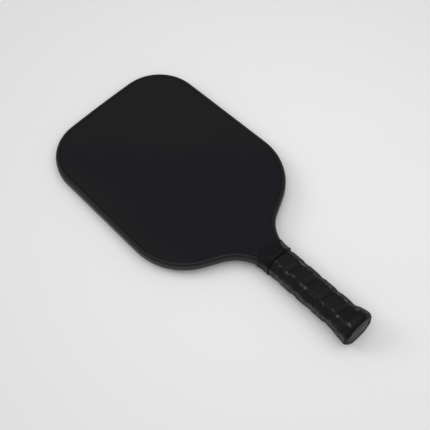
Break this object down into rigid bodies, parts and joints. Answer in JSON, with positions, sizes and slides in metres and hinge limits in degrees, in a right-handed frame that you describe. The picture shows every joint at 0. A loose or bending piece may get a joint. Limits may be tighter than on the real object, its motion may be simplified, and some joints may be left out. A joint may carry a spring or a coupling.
{
  "type": "pickleball paddle",
  "caption": "Flat wide-headed paddle with a honeycomb panel, channel edge guard, smooth collar and eight-sided wrapped handle.",
  "frame": {"origin": "centre of the butt cap's flat end face, on the handle's axis", "axes": "+Y along the handle from the butt to the tip of the head, +Z out of the front hitting face, +X across the head"},
  "size_m": [0.1998, 0.406, 0.0356],
  "materials": {
    "core_plastic": "natural translucent polypropylene honeycomb",
    "bond_film": "cured adhesive film",
    "face_composite": "matte black composite with a fine peel texture",
    "guard_plastic": "satin black extruded plastic",
    "guard_tape": "white double-sided tape",
    "pallet_wood": "sanded light wood",
    "cap_plastic": "satin black moulded plastic",
    "plate_plastic": "plain satin plate",
    "tack_steel": "bright steel",
    "tape_underlay": "woven double-sided tape",
    "grip_cushion": "black perforated synthetic leather",
    "finish_tape": "black vinyl tape",
    "collar_rubber": "smooth satin black rubber"
  },
  "bodies": {
    "root": {"core_panel": "core_plastic", "front_bond_film": "bond_film", "back_bond_film": "bond_film", "front_face": "face_composite", "back_face": "face_composite", "edge_guard_tape": "guard_tape", "edge_guard": "guard_plastic", "front_pallet_bond": "bond_film", "back_pallet_bond": "bond_film", "front_pallet": "pallet_wood", "back_pallet": "pallet_wood", "butt_cap": "cap_plastic", "butt_cap_tacks": "tack_steel", "end_plate_adhesive": "bond_film", "end_plate": "plate_plastic", "grip_underlay": "tape_underlay", "grip_wrap": "grip_cushion", "grip_staple": "tack_steel", "finishing_tape": "finish_tape", "collar": "collar_rubber"}
  },
  "joints": []
}
